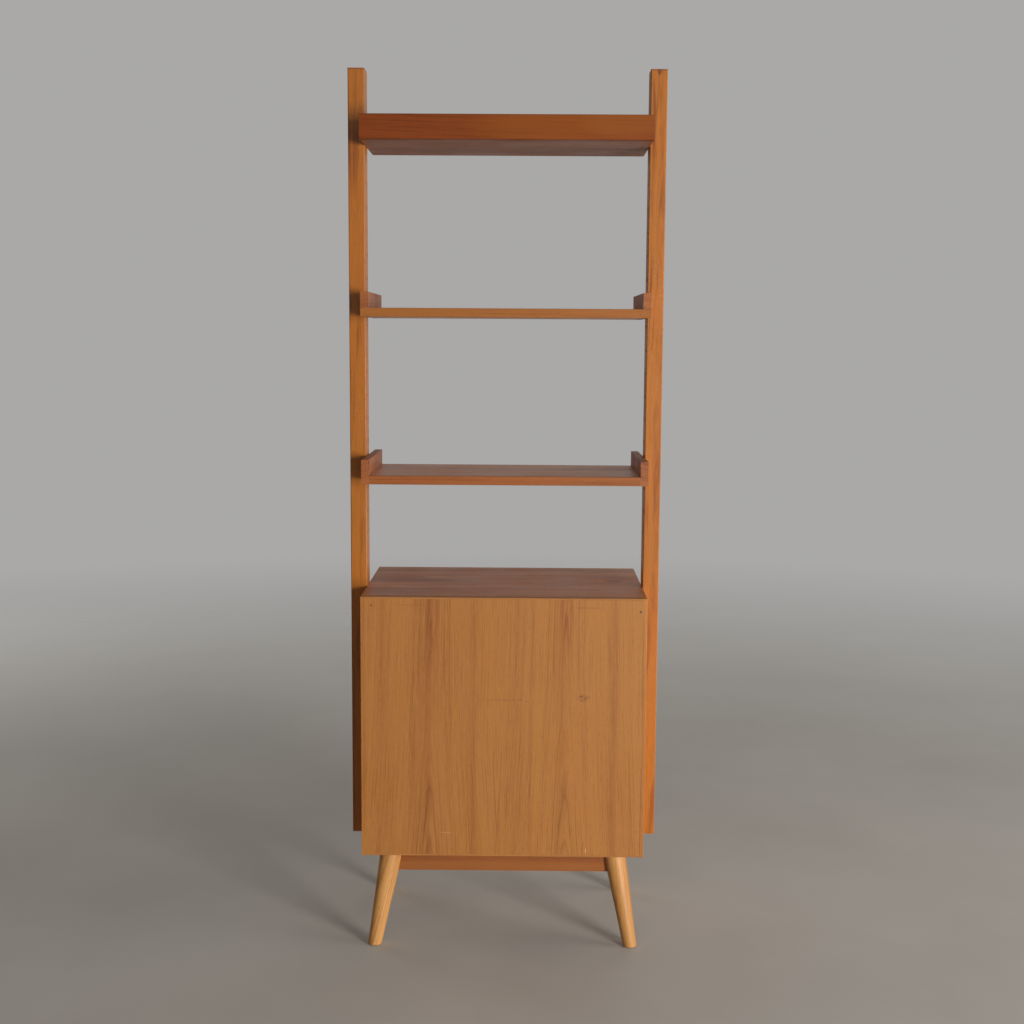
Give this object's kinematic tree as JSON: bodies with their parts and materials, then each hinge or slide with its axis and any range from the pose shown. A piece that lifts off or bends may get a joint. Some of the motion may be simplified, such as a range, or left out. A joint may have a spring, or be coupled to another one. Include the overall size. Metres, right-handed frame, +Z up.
{
  "type": "bookcase with adjustable shelves",
  "caption": "Narrow free-standing bookcase: a deep top shelf and adjustable shelves between uprights, over a cabinet with a plain side-hung door on splayed tapered legs.",
  "frame": {"origin": "middle of the footprint, on the floor", "axes": "+X to the bookcase's right as it is looked at from the front, the door faces -Y, +Z up"},
  "size_m": [0.692, 0.414, 1.933],
  "materials": {
    "upright_wood": "oiled",
    "leg_wood": "satin lacquer",
    "base_wood": "oiled",
    "door_veneer": "oiled",
    "door_lipping_wood": "oiled",
    "top_fascia_wood": "oiled",
    "top_shelf_wood": "oiled",
    "shelf_veneer": "oiled",
    "shelf_lipping_wood": "oiled",
    "cleat_wood": "oiled",
    "cabinet_top_veneer": "oiled",
    "cabinet_side_veneer": "oiled",
    "interior_veneer": "satin",
    "back_panel_wood": "matt",
    "hinge_brass": "satin",
    "bolt_brass": "aged satin",
    "peg_steel": "zinc plated",
    "catch_plastic": "moulded",
    "catch_steel": "plain",
    "glide_plastic": "moulded"
  },
  "bodies": {
    "frame": {"base_rail_front": "base_wood", "base_rail_left": "base_wood", "base_rail_rear": "base_wood", "base_rail_right": "base_wood", "cabinet_back": "back_panel_wood", "cabinet_bolts": "bolt_brass", "cabinet_floor": "interior_veneer", "cabinet_side_left": "cabinet_side_veneer", "cabinet_side_right": "cabinet_side_veneer", "cabinet_top": "cabinet_top_veneer", "catch_body": "catch_plastic", "catch_magnet": "catch_steel", "catch_screws": "catch_steel", "hinge_leaves_cabinet": "hinge_brass", "hinge_pins": "hinge_brass", "hinge_screws_cabinet": "hinge_brass", "inner_shelf_pins": "peg_steel", "leg_bolts": "catch_steel", "leg_front_left": "leg_wood", "leg_front_right": "leg_wood", "leg_glides": "glide_plastic", "leg_rear_left": "leg_wood", "leg_rear_right": "leg_wood", "lower_shelf_pegs": "peg_steel", "top_shelf_board": "top_shelf_wood", "top_shelf_bolts": "bolt_brass", "top_shelf_end_left": "top_shelf_wood", "top_shelf_end_right": "top_shelf_wood", "top_shelf_fascia": "top_fascia_wood", "top_shelf_rear_rail": "top_shelf_wood", "top_shelf_underside": "top_shelf_wood", "upper_shelf_pegs": "peg_steel", "upright_left": "upright_wood", "upright_right": "upright_wood"},
    "door": {"door_lipping_bottom": "door_lipping_wood", "door_lipping_left": "door_lipping_wood", "door_lipping_right": "door_lipping_wood", "door_lipping_top": "door_lipping_wood", "door_panel": "door_veneer", "hinge_leaves_door": "hinge_brass", "hinge_screws_door": "hinge_brass", "catch_strike": "catch_steel", "strike_screws": "catch_steel"},
    "upper_shelf": {"upper_shelf_board": "shelf_veneer", "upper_shelf_lipping": "shelf_lipping_wood", "upper_shelf_cleat_left": "cleat_wood", "upper_shelf_cleat_right": "cleat_wood"},
    "lower_shelf": {"lower_shelf_board": "shelf_veneer", "lower_shelf_lipping": "shelf_lipping_wood", "lower_shelf_cleat_left": "cleat_wood", "lower_shelf_cleat_right": "cleat_wood"},
    "inner_shelf": {"inner_shelf": "interior_veneer"}
  },
  "joints": [
    {"name": "door_hinge", "type": "hinge", "parent": "frame", "child": "door", "pos_m": [-0.3075, -0.187, 0.5], "axis": [0, 0, -1], "range_deg": [0, 105]},
    {"name": "upper_shelf_lift", "type": "slide", "parent": "frame", "child": "upper_shelf", "axis": [0, 0, 1], "range_m": [0, 0.3077]},
    {"name": "lower_shelf_lift", "type": "slide", "parent": "frame", "child": "lower_shelf", "axis": [0, 0, 1], "range_m": [0, 0.2564]},
    {"name": "inner_shelf_lift", "type": "slide", "parent": "frame", "child": "inner_shelf", "axis": [0, 0, 1], "range_m": [0, 0.128]}
  ]
}
